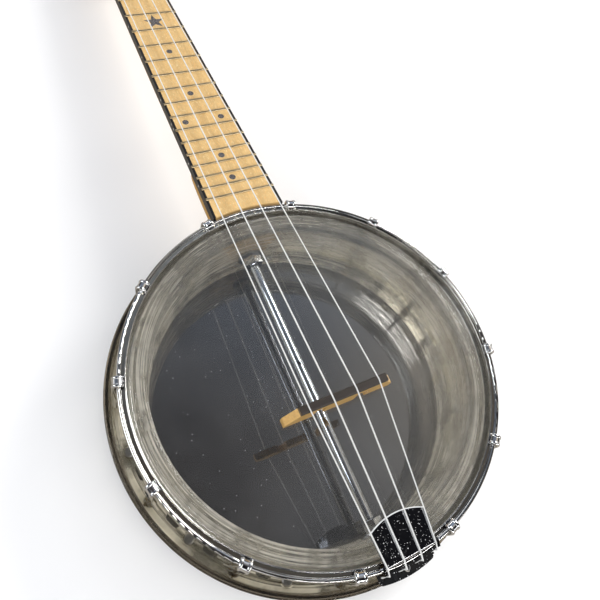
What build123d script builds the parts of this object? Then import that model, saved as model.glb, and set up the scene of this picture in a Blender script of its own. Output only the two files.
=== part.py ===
from build123d import *
# Concert banjo-ukulele with a clear pot and resonator. Millimetres, +Z out of the drum head,
# +Y up the neck, origin on the pot's axis at the flat back of the resonator.
import math
import os

os.makedirs("parts", exist_ok=True)

# ================================================================ DRIVING DIMENSIONS
# Pot
HEAD_TOP = 49.0          # upper face of the drum head
FILM_T = 0.25
RIM_RI, RIM_RO = 87.2, 95.3
RIM_Z0, RIM_Z1 = 4.0, HEAD_TOP - FILM_T
HOOP_RI, HOOP_RO, HOOP_TOP = 96.4, 100.95, 52.1
HOOP_FOOT = 40.65
FLANGE_Z0, FLANGE_Z1 = 13.0, 16.0
FLANGE_RI, FLANGE_RO = 95.4, 106.2
RES_RO, RES_TOP, RES_FLOOR = 109.0, 23.5, 3.5
ROD_Z, ROD_R = 20.0, 3.0
BOLT_R, BOLT_HOLE_R = 2.0, 2.03
NECK_CLEAR_R = 101.4     # neck parts keep outside this radius, clear of the hoop

# Hooks and flange screws
N_HOOKS = 12
HOOK_STEP = 360 / N_HOOKS
HOOK_START = 15          # angle of the first hook
HOOK_R = 102.3           # radius of the hooks' shank circle
SCREW_R = 101.0          # circle of the flange screws
SCREW_ANGLES = [HOOK_STEP * k for k in range(N_HOOKS) if HOOK_STEP * k not in (90, 270)]

# Neck
SCALE_LENGTH = 381.0     # concert scale, nut to bridge
N_FRETS = 18
FRET18_Y = 112.8         # last fret from the pot's axis
FRET18_Z = 52.33         # fretboard surface at the last fret
NECK_TILT = 3.5          # set-back of the neck, degrees
BOARD_T = 6.0            # fretboard thickness
BOARD_START = -20        # end of the blank over the pot, from the last fret
BIND_W = 1.5             # binding strip
HALF_W_NUT, HALF_W_18 = 16.5, 21.3
FRET_H, FRET_HALF_W = 0.85, 0.85
NUT_T = 4.5
HEEL_Z = 13.0

# Headstock and tuners
HEADSTOCK_TILT = 8.0     # drop from the fretboard plane, degrees
HEADSTOCK_DROP = 3.4     # face below the fretboard plane behind the nut
HEADSTOCK_T, VENEER_T = 12.0, 1.2
POST_X, POST_Y = 16.5, (25.0, 58.0)  # post positions on the headstock
POST_HOLE_R = 4.4
MOUNT_Y = (-9.2, 13.6)   # tuner screws, along the headstock from the post
# (side, y) of the tuners of strings 1 to 4
TUNERS = [(-1, POST_Y[0]), (-1, POST_Y[1]), (1, POST_Y[1]), (1, POST_Y[0])]
POST_SPOTS = [(side * POST_X, y) for side, y in TUNERS]

# Strings, from -X to +X
STRING_R = (0.36, 0.42, 0.40, 0.34)
STRING_STEPS = (-1.5, -0.5, 0.5, 1.5)   # pitches from the centre line
BRIDGE_PITCH, NUT_PITCH, TAIL_PITCH = 13.2, 8.8, 9.0
BRIDGE_Y, BRIDGE_TOP = -20.8, 65.2      # bridge crown
STRING_GAP = 0.06        # between a string and the tailpiece metal it bends round


# ================================================================ NECK FRAMES
def fret_s(n):
    """Distance of fret n from the last fret, along the neck, towards the nut."""
    return SCALE_LENGTH * 2 ** (-n / 12) - SCALE_LENGTH * 2 ** (-N_FRETS / 12)


def mid_s(n):
    """Middle of the space behind fret n, from the last fret."""
    return (fret_s(n) + fret_s(n - 1)) / 2


NUT_S = fret_s(0)
neck_angle = math.radians(NECK_TILT)
NECK_PLANE = Plane(origin=(0, FRET18_Y, FRET18_Z), x_dir=(1, 0, 0),
                   z_dir=(0, math.sin(neck_angle), math.cos(neck_angle)))


def half_width(s):
    """Half the fretboard's width at s along the neck."""
    return HALF_W_18 + (HALF_W_NUT - HALF_W_18) * s / NUT_S


def on_neck(x, s, height):
    """Point at x, s along the neck from the last fret, height above the fretboard's surface."""
    return NECK_PLANE.from_local_coords(Vector(x, s, height))


def neck_side_plane(x, s, height=0):
    """Plane facing +X, its local x along the neck and local y off the fretboard."""
    return Plane(origin=on_neck(x, s, height), x_dir=NECK_PLANE.y_dir, z_dir=NECK_PLANE.x_dir)


headstock_angle = math.radians(NECK_TILT + HEADSTOCK_TILT)
HEADSTOCK_PLANE = Plane(origin=on_neck(0, NUT_S + NUT_T, -HEADSTOCK_DROP), x_dir=(1, 0, 0),
                        z_dir=(0, math.sin(headstock_angle), math.cos(headstock_angle)))


def save(builder, label):
    builder.part.label = label
    export_step(builder.part, f"parts/{label}.step")


# ================================================================ POT
# ---------------------------------------------------------------- rim
# Clear cylinder with an outer bead that the flange bears on
RIM_ROUND = 1.3
RIM_CHAMFER = 0.6
BEAD_R = 97.3
with BuildPart() as rim:
    with BuildSketch(Plane.XZ):
        with BuildLine():
            Polyline((RIM_RI, RIM_Z0 + RIM_CHAMFER), (RIM_RI, RIM_Z1 - 1.2),
                     (RIM_RI + 1.6, RIM_Z1), (RIM_RO - RIM_ROUND, RIM_Z1))
            CenterArc((RIM_RO - RIM_ROUND, RIM_Z1 - RIM_ROUND), RIM_ROUND, 0, 90)
            Polyline((RIM_RO, RIM_Z1 - RIM_ROUND), (RIM_RO, 19.6), (BEAD_R, 18.6),
                     (BEAD_R, FLANGE_Z1), (RIM_RO, FLANGE_Z1), (RIM_RO, RIM_Z0 + RIM_CHAMFER),
                     (RIM_RO - RIM_CHAMFER, RIM_Z0), (RIM_RI + RIM_CHAMFER, RIM_Z0),
                     (RIM_RI, RIM_Z0 + RIM_CHAMFER))
        make_face()
    revolve(axis=Axis.Z)
    # gaps in the bead at the heel and at the tail
    with BuildSketch(Plane.XY.offset(FLANGE_Z1 - 0.5)):
        for y, width in ((95, 52), (-95, 15)):
            with Locations((0, y)):
                Rectangle(width, 20)
        Circle(RIM_RO, mode=Mode.SUBTRACT)
    extrude(amount=4.5, mode=Mode.SUBTRACT)
    # bolt holes at the neck and at the tail
    with BuildSketch(Plane.XZ):
        with Locations((0, ROD_Z)):
            Circle(2.6)
    extrude(amount=120, both=True, mode=Mode.SUBTRACT)
save(rim, "rim")

# ---------------------------------------------------------------- head film
FILM_RI = RIM_RO + 0.05
FILM_RO = FILM_RI + FILM_T
FILM_BEND = 1.1
BEND_R, BEND_Z = FILM_RI - FILM_BEND, HEAD_TOP - FILM_T - FILM_BEND   # centre of the bend
LIP_Z0, LIP_Z1 = 37.95, 38.2
with BuildPart() as head_film:
    with BuildSketch(Plane.XZ):
        with BuildLine():
            Polyline((0, HEAD_TOP), (0, HEAD_TOP - FILM_T), (BEND_R, HEAD_TOP - FILM_T))
            CenterArc((BEND_R, BEND_Z), FILM_BEND, 0, 90)
            Polyline((FILM_RI, BEND_Z), (FILM_RI, LIP_Z0), (FILM_RO + 1.5, LIP_Z0),
                     (FILM_RO + 1.5, LIP_Z1), (FILM_RO, LIP_Z1), (FILM_RO, BEND_Z))
            CenterArc((BEND_R, BEND_Z), FILM_BEND + FILM_T, 0, 90)
            Line((BEND_R, HEAD_TOP), (0, HEAD_TOP))
        make_face()
    revolve(axis=Axis.Z)
save(head_film, "head_film")

# ---------------------------------------------------------------- crimp collar
COLLAR_RI = RIM_RO + 0.35
# (radius beyond COLLAR_RI, z); the last four points are the groove round the film's lip
COLLAR_PROFILE = [(0, 36.6), (3.3, 36.6), (3.7, 37.0), (3.7, 40.2), (3.3, 40.6), (0.45, 40.6),
                  (0, 40.2), (0, 38.28), (1.6, 38.28), (1.6, 37.87), (0, 37.87)]
with BuildPart() as head_collar:
    with BuildSketch(Plane.XZ):
        with BuildLine():
            Polyline(*[(COLLAR_RI + x, z) for x, z in COLLAR_PROFILE], close=True)
        make_face()
    revolve(axis=Axis.Z)
save(head_collar, "head_collar")

# ---------------------------------------------------------------- grooved tension hoop
LIP_R = 0.3              # rounding of the inner lip, half its thickness
CROWN_R = 0.95           # rounding of the outer crown, half its thickness
GROOVE_Z = 50.6
GROOVE_RO = HOOP_RO - 2 * CROWN_R
with BuildPart() as hoop:
    with BuildSketch(Plane.XZ):
        with BuildLine():
            Line((HOOP_RI, HOOP_FOOT), (HOOP_RI, HOOP_TOP - LIP_R))
            CenterArc((HOOP_RI + LIP_R, HOOP_TOP - LIP_R), LIP_R, 180, -180)
            Line((HOOP_RI + 0.6, HOOP_TOP - LIP_R), (HOOP_RI + 0.6, GROOVE_Z + 0.3))
            CenterArc((HOOP_RI + 0.9, GROOVE_Z + 0.3), 0.3, 180, 90)
            Line((HOOP_RI + 0.9, GROOVE_Z), (GROOVE_RO - 0.2, GROOVE_Z))
            CenterArc((GROOVE_RO - 0.2, GROOVE_Z + 0.2), 0.2, 270, 90)
            Line((GROOVE_RO, GROOVE_Z + 0.2), (GROOVE_RO, HOOP_TOP - CROWN_R))
            CenterArc((HOOP_RO - CROWN_R, HOOP_TOP - CROWN_R), CROWN_R, 180, -180)
            Line((HOOP_RO, HOOP_TOP - CROWN_R), (HOOP_RO, HOOP_FOOT))
            Polyline((HOOP_RO, HOOP_FOOT), (HOOP_RO - 0.4, HOOP_FOOT - 0.4),
                     (HOOP_RO - 1.0, HOOP_FOOT - 0.4), (HOOP_RO - 1.0, HOOP_FOOT),
                     (HOOP_RI, HOOP_FOOT))
        make_face()
    revolve(axis=Axis.Z)
save(hoop, "tension_hoop")

# ---------------------------------------------------------------- tension hooks
# Twin-wire claw, its wires joined by a web, on one threaded shank
CLAW_R, WIRE_R, WIRE_Y = 2.15, 0.98, 1.95
CLAW_X, CLAW_Z = HOOK_R - CLAW_R, 51.1   # centre of the claw's arc
CLAW_FOOT = 43.0
WEB_RI, WEB_RO = 1.55, 2.75
SHANK_R, SHANK_Z0, SHANK_Z1 = 1.2, 7.0, 39.4
with BuildPart() as hook:
    for side in (-WIRE_Y, WIRE_Y):
        with BuildLine(Plane.XZ.offset(side)) as claw:
            Line((HOOK_R, CLAW_FOOT), (HOOK_R, CLAW_Z))
            ThreePointArc((HOOK_R, CLAW_Z), (CLAW_X, CLAW_Z + CLAW_R), (CLAW_X - CLAW_R, CLAW_Z))
            Line((CLAW_X - CLAW_R, CLAW_Z), (CLAW_X - CLAW_R, 50.7))
        with BuildSketch(Plane(origin=(HOOK_R, -side, CLAW_FOOT), z_dir=(0, 0, 1))):
            Circle(WIRE_R)
        sweep(path=claw.line)
    # web between the wires
    with BuildSketch(Plane.XZ):
        with BuildLine():
            CenterArc((CLAW_X, CLAW_Z), WEB_RO, 0, 180)
            Line((CLAW_X - WEB_RO, CLAW_Z), (CLAW_X - WEB_RI, CLAW_Z))
            CenterArc((CLAW_X, CLAW_Z), WEB_RI, 180, -180)
            Line((CLAW_X + WEB_RI, CLAW_Z), (CLAW_X + WEB_RO, CLAW_Z))
        make_face()
        with Locations((HOOK_R, 46.3)):
            Rectangle(1.1, 7.0)
    extrude(amount=WIRE_Y, both=True)
    # transition from the round shank to the two wires
    with BuildSketch(Plane.XY.offset(SHANK_Z1)):
        with Locations((HOOK_R, 0)):
            Circle(1.25)
    with BuildSketch(Plane.XY.offset(CLAW_FOOT)):
        with Locations((HOOK_R, 0)):
            SlotOverall(2 * WIRE_Y + 2 * WIRE_R, 2 * WIRE_R, rotation=90)
    loft()
    with BuildSketch(Plane.XY.offset(SHANK_Z0)):
        with Locations((HOOK_R, 0)):
            Circle(SHANK_R)
    extrude(amount=SHANK_Z1 + 0.2 - SHANK_Z0)
with BuildPart() as hooks:
    with PolarLocations(0, N_HOOKS, HOOK_START):
        add(hook.part)
save(hooks, "tension_hooks")

WASHER_T, NUT_H = 0.6, 6.4
with BuildPart() as hook_washers:
    with BuildSketch(Plane.XY.offset(FLANGE_Z0 - WASHER_T)):
        with PolarLocations(HOOK_R, N_HOOKS, HOOK_START):
            Circle(3.0)
        with PolarLocations(HOOK_R, N_HOOKS, HOOK_START):
            Circle(1.3, mode=Mode.SUBTRACT)
    extrude(amount=WASHER_T)
save(hook_washers, "hook_washers")

with BuildPart() as hook_nuts:
    with BuildSketch(Plane.XY.offset(FLANGE_Z0 - WASHER_T - NUT_H)):
        with PolarLocations(HOOK_R, N_HOOKS, HOOK_START):
            RegularPolygon(2.5, 6, major_radius=False, rotation=30)
        with PolarLocations(HOOK_R, N_HOOKS, HOOK_START):
            Circle(1.23, mode=Mode.SUBTRACT)
    extrude(amount=NUT_H)
save(hook_nuts, "hook_nuts")

# ---------------------------------------------------------------- clear flange, rim to resonator
TAIL_SCREW_Y = -104.3
SLOT_OFFSET = 8.2        # degrees from each hook to the slots beside it
slot_angles = [(HOOK_START + HOOK_STEP * k + offset) % 360
               for k in range(N_HOOKS) for offset in (SLOT_OFFSET, HOOK_STEP - SLOT_OFFSET)]
# no slots near the heel
slot_angles = [angle for angle in slot_angles if not 66 < angle < 114]
with BuildPart() as flange:
    with BuildSketch(Plane.XY.offset(FLANGE_Z0)):
        Circle(FLANGE_RO)
        Circle(FLANGE_RI, mode=Mode.SUBTRACT)
    extrude(amount=FLANGE_Z1 - FLANGE_Z0)
    # boss round each hook, with radial and tangential ribs
    with BuildSketch(Plane.XY.offset(FLANGE_Z1)):
        with PolarLocations(HOOK_R, N_HOOKS, HOOK_START):
            Circle(3.3)
        with PolarLocations(101.85, N_HOOKS, HOOK_START):
            Rectangle(8.5, 1.5)
            with Locations((0.35, 0)):
                Rectangle(1.5, 12.5)
    extrude(amount=2.2)
    # raised ring round each screw head
    with BuildSketch(Plane.XY.offset(FLANGE_Z1)):
        for angle in SCREW_ANGLES:
            with PolarLocations(SCREW_R, 1, angle):
                Circle(3.6)
                Circle(2.9, mode=Mode.SUBTRACT)
    extrude(amount=0.9)
    # holes for hooks and screws, and the slots
    with BuildSketch(Plane.XY.offset(FLANGE_Z0 - 1)):
        with PolarLocations(HOOK_R, N_HOOKS, HOOK_START):
            Circle(1.4)
        for angle in SCREW_ANGLES:
            with PolarLocations(SCREW_R, 1, angle):
                Circle(1.4)
        for angle in slot_angles:
            with PolarLocations(99.2, 1, angle):
                SlotOverall(8.6, 5.0, rotation=90)
        with Locations((0, TAIL_SCREW_Y)):
            Circle(1.13)
        # room for the heel and for the tail bolt's head
        with Locations((0, 100)):
            Rectangle(27.0, 22)
        with Locations((0, -97.8)):
            Rectangle(14.5, 6.2)
    extrude(amount=8, mode=Mode.SUBTRACT)
save(flange, "flange")

# ---------------------------------------------------------------- clear resonator tray
with BuildPart() as resonator:
    with BuildSketch(Plane.XZ):
        with BuildLine():
            Line((0, 0), (103.3, 0))
            CenterArc((103.3, 5.5), 5.5, -90, 90)
            Polyline((108.8, 5.5), (RES_RO, RES_TOP - 3.2), (RES_RO + 0.5, RES_TOP - 2.6),
                     (RES_RO + 0.5, RES_TOP - 0.8))
            CenterArc((RES_RO - 0.3, RES_TOP - 0.8), 0.8, 0, 90)
            Polyline((RES_RO - 0.3, RES_TOP), (107.0, RES_TOP), (106.6, RES_TOP - 0.4), (106.5, 6.5))
            CenterArc((103.5, 6.5), 3.0, -90, 90)
            Polyline((103.5, RES_FLOOR), (0, RES_FLOOR), (0, 0))
        make_face()
    revolve(axis=Axis.Z)
    # screw bosses tied to the wall by gussets
    with BuildSketch(Plane.XY.offset(RES_FLOOR - 0.5)):
        for angle in SCREW_ANGLES:
            with PolarLocations(SCREW_R, 1, angle):
                Circle(3.0)
    extrude(amount=FLANGE_Z0 - RES_FLOOR + 0.5)
    with BuildSketch(Plane.XY.offset(RES_FLOOR - 0.5)):
        for angle in SCREW_ANGLES:
            with PolarLocations(104.9, 1, angle):
                Rectangle(4.4, 1.6)
    extrude(amount=8.4)
    with BuildSketch(Plane.XY.offset(FLANGE_Z0 + 1)):
        for angle in SCREW_ANGLES:
            with PolarLocations(SCREW_R, 1, angle):
                Circle(1.13)
    extrude(amount=-9.0, mode=Mode.SUBTRACT)
    # notch for the heel
    with BuildSketch(Plane.XZ.offset(-95)):
        with BuildLine():
            Polyline((-13.6, HEEL_Z - 0.3), (13.6, HEEL_Z - 0.3), (16.0, 20.0),
                     (21.5, RES_TOP + 2), (-21.5, RES_TOP + 2), (-16.0, 20.0),
                     (-13.6, HEEL_Z - 0.3))
        make_face()
    extrude(amount=-25, mode=Mode.SUBTRACT)
save(resonator, "resonator")

# Cross-head screws from the flange down into the bosses
SCREW_DEPTH, SCREW_HEAD_R, SCREW_HEAD_H = 7.4, 2.6, 1.0
with BuildPart() as res_screws:
    for angle in SCREW_ANGLES:
        with BuildSketch(Plane.XY.offset(FLANGE_Z0 - SCREW_DEPTH)):
            with PolarLocations(SCREW_R, 1, angle):
                Circle(1.1)
        extrude(amount=SCREW_DEPTH + FLANGE_Z1 - FLANGE_Z0)
        with BuildSketch(Plane.XY.offset(FLANGE_Z1)):
            with PolarLocations(SCREW_R, 1, angle):
                Circle(SCREW_HEAD_R)
        extrude(amount=SCREW_HEAD_H)
        with BuildSketch(Plane.XY.offset(FLANGE_Z1 + SCREW_HEAD_H)):
            with PolarLocations(SCREW_R, 1, angle):
                Circle(SCREW_HEAD_R)
        extrude(amount=0.6, taper=45)
        with BuildSketch(Plane.XY.offset(FLANGE_Z1 + 0.7)):
            with PolarLocations(SCREW_R, 1, angle):
                Rectangle(2.8, 0.55)
                Rectangle(0.55, 2.8)
        extrude(amount=2, mode=Mode.SUBTRACT)
save(res_screws, "resonator_screws")

# ---------------------------------------------------------------- coordinator rod and its bolts
ROD_HALF_L = 79.4
BOLT_INNER_Y = 68.0      # inner end of both bolts
TAIL_HEAD_Y = 95.4       # inner face of the tail bolt's head, towards -Y
with BuildPart() as rod:
    with BuildSketch(Plane.XZ.offset(-ROD_HALF_L)):
        with Locations((0, ROD_Z)):
            Circle(ROD_R)
    extrude(amount=2 * ROD_HALF_L)
    chamfer(rod.edges().filter_by(GeomType.CIRCLE), 0.5)
    # bolt bores in both ends
    for side in (1, -1):
        with BuildSketch(Plane.XZ.offset(-side * 80)):
            with Locations((0, ROD_Z)):
                Circle(BOLT_HOLE_R)
        extrude(amount=side * 14, mode=Mode.SUBTRACT)
    # small cross hole near the middle
    with BuildSketch(Plane.XY.offset(ROD_Z - 5)):
        with Locations((0, 11.5)):
            Circle(1.1)
    extrude(amount=10, mode=Mode.SUBTRACT)
save(rod, "coordinator_rod")

with BuildPart() as rod_nuts:
    for side in (1, -1):
        with BuildSketch(Plane.XZ.offset(-side * 79.6)):
            with Locations((0, ROD_Z)):
                RegularPolygon(5.5, 6, major_radius=False, rotation=30)
                Circle(2.05, mode=Mode.SUBTRACT)
        extrude(amount=-side * 5.8)
save(rod_nuts, "rod_nuts")

with BuildPart() as rod_washers:
    for side in (1, -1):
        with BuildSketch(Plane.XZ.offset(-side * 85.45)):
            with Locations((0, ROD_Z)):
                Circle(7.6)
                Circle(2.1, mode=Mode.SUBTRACT)
        extrude(amount=-side * 1.3)
save(rod_washers, "rod_washers")

with BuildPart() as neck_bolt:
    with BuildSketch(Plane.XZ.offset(-BOLT_INNER_Y)):
        with Locations((0, ROD_Z)):
            Circle(BOLT_R)
    extrude(amount=-38.0)
save(neck_bolt, "neck_bolt")

with BuildPart() as tail_bolt:
    with BuildSketch(Plane.XZ.offset(BOLT_INNER_Y)):
        with Locations((0, ROD_Z)):
            Circle(BOLT_R)
    extrude(amount=TAIL_HEAD_Y - BOLT_INNER_Y)
    with BuildSketch(Plane.XZ.offset(TAIL_HEAD_Y)):
        with Locations((0, ROD_Z)):
            RegularPolygon(4.0, 6, major_radius=False, rotation=30)
    extrude(amount=2.8)
save(tail_bolt, "tail_bolt")

# ================================================================ NECK
# ---------------------------------------------------------------- fingerboard blanks
def board_outline(inset):
    """Corners of the tapered board, its long sides moved in by inset."""
    wide, narrow = half_width(BOARD_START) - inset, half_width(NUT_S) - inset
    return [(-wide, BOARD_START), (wide, BOARD_START), (narrow, NUT_S), (-narrow, NUT_S)]


with BuildPart() as board_full:                   # whole blank, bindings included
    with BuildSketch(NECK_PLANE):
        with BuildLine():
            Polyline(*board_outline(0), close=True)
        make_face()
    extrude(amount=-BOARD_T)
    with BuildSketch(Plane.XY):
        Circle(NECK_CLEAR_R)
    extrude(amount=120, mode=Mode.SUBTRACT)
with BuildPart() as board_core:                   # over-thick blank without the bindings
    with BuildSketch(NECK_PLANE.offset(1)):
        with BuildLine():
            Polyline(*board_outline(BIND_W), close=True)
        make_face()
    extrude(amount=-BOARD_T - 2)

# ---------------------------------------------------------------- fretboard and inlays
DOTS = [(0, 7), (0, 10), (-11.7, 12), (11.7, 12), (0, 15), (0, 17), (0, 3)]   # (x, fret)
STAR_FRET = 5
STAR_TIP_R, STAR_NOTCH_R = 7.5, 3.0
INLAY_T = 1.2
star_points = []
for i in range(10):
    radius = STAR_TIP_R if i % 2 == 0 else STAR_NOTCH_R
    angle = math.radians(90 + 36 * i)
    star_points.append((radius * math.cos(angle), radius * math.sin(angle)))

with BuildPart() as fretboard:
    add(board_full.part)
    add(board_core.part, mode=Mode.INTERSECT)
    for n in range(1, N_FRETS + 1):
        with BuildSketch(NECK_PLANE.offset(1)):
            with Locations((0, fret_s(n))):
                Rectangle(2 * half_width(fret_s(n)) + 2, 0.62)
        extrude(amount=-3.0, mode=Mode.SUBTRACT)
    with BuildSketch(NECK_PLANE):
        for x, n in DOTS:
            with Locations((x, mid_s(n))):
                Circle(2.0)
        with Locations((0, mid_s(STAR_FRET))):
            Polygon(*star_points, align=None)
    extrude(amount=-INLAY_T, mode=Mode.SUBTRACT)
save(fretboard, "fretboard")

with BuildPart() as fret_markers:                 # slightly smaller than their pockets
    with BuildSketch(NECK_PLANE.offset(-INLAY_T)):
        for x, n in DOTS:
            with Locations((x, mid_s(n))):
                Circle(1.98)
        with Locations((0, mid_s(STAR_FRET))):
            Polygon(*[(x * 0.995, y * 0.995) for x, y in star_points], align=None)
    extrude(amount=INLAY_T)
save(fret_markers, "fret_markers")

# (offset along the neck, fret) of the dots in the -X edge
SIDE_DOTS = [(0, 3), (0, 5), (0, 7), (0, 10), (-2.2, 12), (2.2, 12), (0, 15), (0, 17)]
with BuildPart() as side_dots:
    for offset, n in SIDE_DOTS:
        s = mid_s(n) + offset
        edge_plane = Plane(origin=on_neck(-half_width(s), s, -2.3), x_dir=NECK_PLANE.y_dir,
                           z_dir=NECK_PLANE.x_dir * -1)
        with BuildSketch(edge_plane):
            Circle(0.9)
        extrude(amount=-0.8)
save(side_dots, "side_dots")

with BuildPart() as binding:
    add(board_full.part)
    add(board_core.part, mode=Mode.SUBTRACT)
    add(side_dots.part, mode=Mode.SUBTRACT)
save(binding, "fretboard_binding")

# ---------------------------------------------------------------- frets
TANG_T, TANG_H = 0.56, 1.8
with BuildPart() as frets:
    for n in range(1, N_FRETS + 1):
        s = fret_s(n)
        half_length = half_width(s) - 0.1
        # crown
        with BuildSketch(neck_side_plane(-half_length, s)):
            with BuildLine():
                ThreePointArc((-FRET_HALF_W, 0), (0, FRET_H), (FRET_HALF_W, 0))
                Line((FRET_HALF_W, 0), (-FRET_HALF_W, 0))
            make_face()
        extrude(amount=2 * half_length)
        # tang, between the bindings
        with BuildSketch(neck_side_plane(-half_length + BIND_W, s)):
            with Locations((0, -TANG_H / 2)):
                Rectangle(TANG_T, TANG_H)
        extrude(amount=2 * (half_length - BIND_W))
save(frets, "frets")

# ---------------------------------------------------------------- nut
NUT_STRING_H = 1.95      # string centre above the fretboard at the nut
NUT_GAP = 0.02           # clearance to the fretboard and the neck
with BuildPart() as nut:
    with BuildSketch(neck_side_plane(-HALF_W_NUT, NUT_S, -BOARD_T)):
        with BuildLine():
            Polyline((NUT_GAP, NUT_GAP), (NUT_T - NUT_GAP, NUT_GAP),
                     (NUT_T - NUT_GAP, BOARD_T + 1.2), (2.6, BOARD_T + 2.5),
                     (0.6, BOARD_T + 2.5), (NUT_GAP, BOARD_T + 2.0), close=True)
        make_face()
    extrude(amount=2 * HALF_W_NUT)
    for step, radius in zip(STRING_STEPS, STRING_R):
        slot_floor = on_neck(step * NUT_PITCH, NUT_S + 2, NUT_STRING_H - 0.75)
        with BuildSketch(Plane(origin=slot_floor, x_dir=NECK_PLANE.x_dir, z_dir=NECK_PLANE.z_dir)):
            Rectangle(2 * radius + 0.08, 8)
        extrude(amount=3, mode=Mode.SUBTRACT)
save(nut, "nut")

# ---------------------------------------------------------------- neck shaft, heel and headstock
# (s along the neck, depth below the fretboard)
SHAFT_STATIONS = [(-22, 16.5), (70, 14.5), (165, 13.0), (NUT_S - 4, 12.0),
                  (NUT_S + NUT_T + 12, 10.6)]
# (z, half width, y of the rounded face)
HEEL_STATIONS = [(HEEL_Z, 11.5, 109.5), (19.0, 12.4, 111.5), (26.0, 15.2, 117.0),
                 (33.0, 18.6, 128.0), (40.0, 20.6, 148.0)]
HEEL_Y0 = 86
# splines of the headstock's +X half, from the nut to the tip: (x, y) points, end tangents
HEADSTOCK_CURVES = [
    ([(16.6, -4), (18.5, 8), (24.6, 20), (26.6, 42), (25.4, 68), (23.6, 84)],
     [(0.02, 1), (-0.12, 1)]),
    ([(23.6, 84), (17.0, 92.2), (8.5, 91.6), (0, 95.5)],
     [(-0.15, 1), (-1, 0.1)]),
]
with BuildPart() as neck:
    # shaft: D profile, flat under the fretboard with a rounded back
    for s, depth in SHAFT_STATIONS:
        half = half_width(min(s, NUT_S)) - 0.02
        shoulder = -BOARD_T - 0.5
        flank = -BOARD_T - depth * 0.72
        with BuildSketch(Plane(origin=on_neck(0, s, 0), x_dir=NECK_PLANE.x_dir,
                               z_dir=NECK_PLANE.y_dir * -1)):
            with BuildLine():
                Line((-half, -BOARD_T), (half, -BOARD_T))
                Line((half, -BOARD_T), (half, shoulder))
                Spline((half, shoulder), (half * 0.66, flank), (0, -BOARD_T - depth),
                       (-half * 0.66, flank), (-half, shoulder), tangents=[(-0.5, -1), (-0.5, 1)])
                Line((-half, shoulder), (-half, -BOARD_T))
            make_face()
    loft()
    # heel, lofted from its cap up to the shaft
    for z, half, face_y in HEEL_STATIONS:
        side_y = face_y - half * 0.9
        cheek_x, cheek_y = half * 0.72, face_y - half * 0.27
        with BuildSketch(Plane.XY.offset(z)):
            with BuildLine():
                Line((-half, HEEL_Y0), (half, HEEL_Y0))
                Line((half, HEEL_Y0), (half, side_y))
                Spline((half, side_y), (cheek_x, cheek_y), (0, face_y), (-cheek_x, cheek_y),
                       (-half, side_y), tangents=[(0, 1), (0, -1)])
                Line((-half, side_y), (-half, HEEL_Y0))
            make_face()
    loft()
    # headstock, outlined up its +X half and back down the mirrored half
    with BuildSketch(HEADSTOCK_PLANE.offset(-HEADSTOCK_T)) as headstock_sketch:
        with BuildLine():
            for points, tangents in HEADSTOCK_CURVES:
                Spline(*points, tangents=tangents)
            for points, tangents in reversed(HEADSTOCK_CURVES):
                Spline(*[(-x, y) for x, y in reversed(points)],
                       tangents=[(x, -y) for x, y in reversed(tangents)])
            Line((-16.6, -4), (16.6, -4))
        make_face()
    extrude(amount=HEADSTOCK_T - VENEER_T)
    # clear everything above the headstock's wooden face
    with BuildSketch(HEADSTOCK_PLANE.offset(-VENEER_T)):
        with Locations((0, 50)):
            Rectangle(80, 100)
    extrude(amount=30, mode=Mode.SUBTRACT)
    # nut shelf and fretboard bed
    with BuildSketch(NECK_PLANE.offset(-BOARD_T)):
        with Locations((0, 110)):
            Rectangle(60, 2 * (NUT_S + NUT_T - 110))
    extrude(amount=30, mode=Mode.SUBTRACT)
    # fit round the rim, and clear of the hoop and collar above it
    with BuildSketch(Plane.XY):
        Circle(RIM_RO + 0.05)
    extrude(amount=36.0, mode=Mode.SUBTRACT)
    with BuildSketch(Plane.XY.offset(36.0)):
        Circle(NECK_CLEAR_R)
    extrude(amount=40, mode=Mode.SUBTRACT)
    # neck bolt hole
    with BuildSketch(Plane.XZ.offset(-85)):
        with Locations((0, ROD_Z)):
            Circle(BOLT_HOLE_R)
    extrude(amount=-21.5, mode=Mode.SUBTRACT)
    # post holes and pilot holes for the tuner screws
    with BuildSketch(HEADSTOCK_PLANE):
        with Locations(*POST_SPOTS):
            Circle(POST_HOLE_R)
    extrude(amount=-HEADSTOCK_T - 2, mode=Mode.SUBTRACT)
    with BuildSketch(HEADSTOCK_PLANE.offset(-HEADSTOCK_T - 1)):
        with Locations(*[(x, y + dy) for x, y in POST_SPOTS for dy in MOUNT_Y]):
            Circle(0.95)
    extrude(amount=7.1, mode=Mode.SUBTRACT)
save(neck, "neck")

with BuildPart() as veneer:
    with BuildSketch(HEADSTOCK_PLANE.offset(-VENEER_T)):
        add(headstock_sketch.sketch_local)
        with Locations((0, -9.8)):
            Rectangle(60, 20, mode=Mode.SUBTRACT)
        with Locations(*POST_SPOTS):
            Circle(POST_HOLE_R, mode=Mode.SUBTRACT)
    extrude(amount=VENEER_T)
save(veneer, "headstock_veneer")

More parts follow.
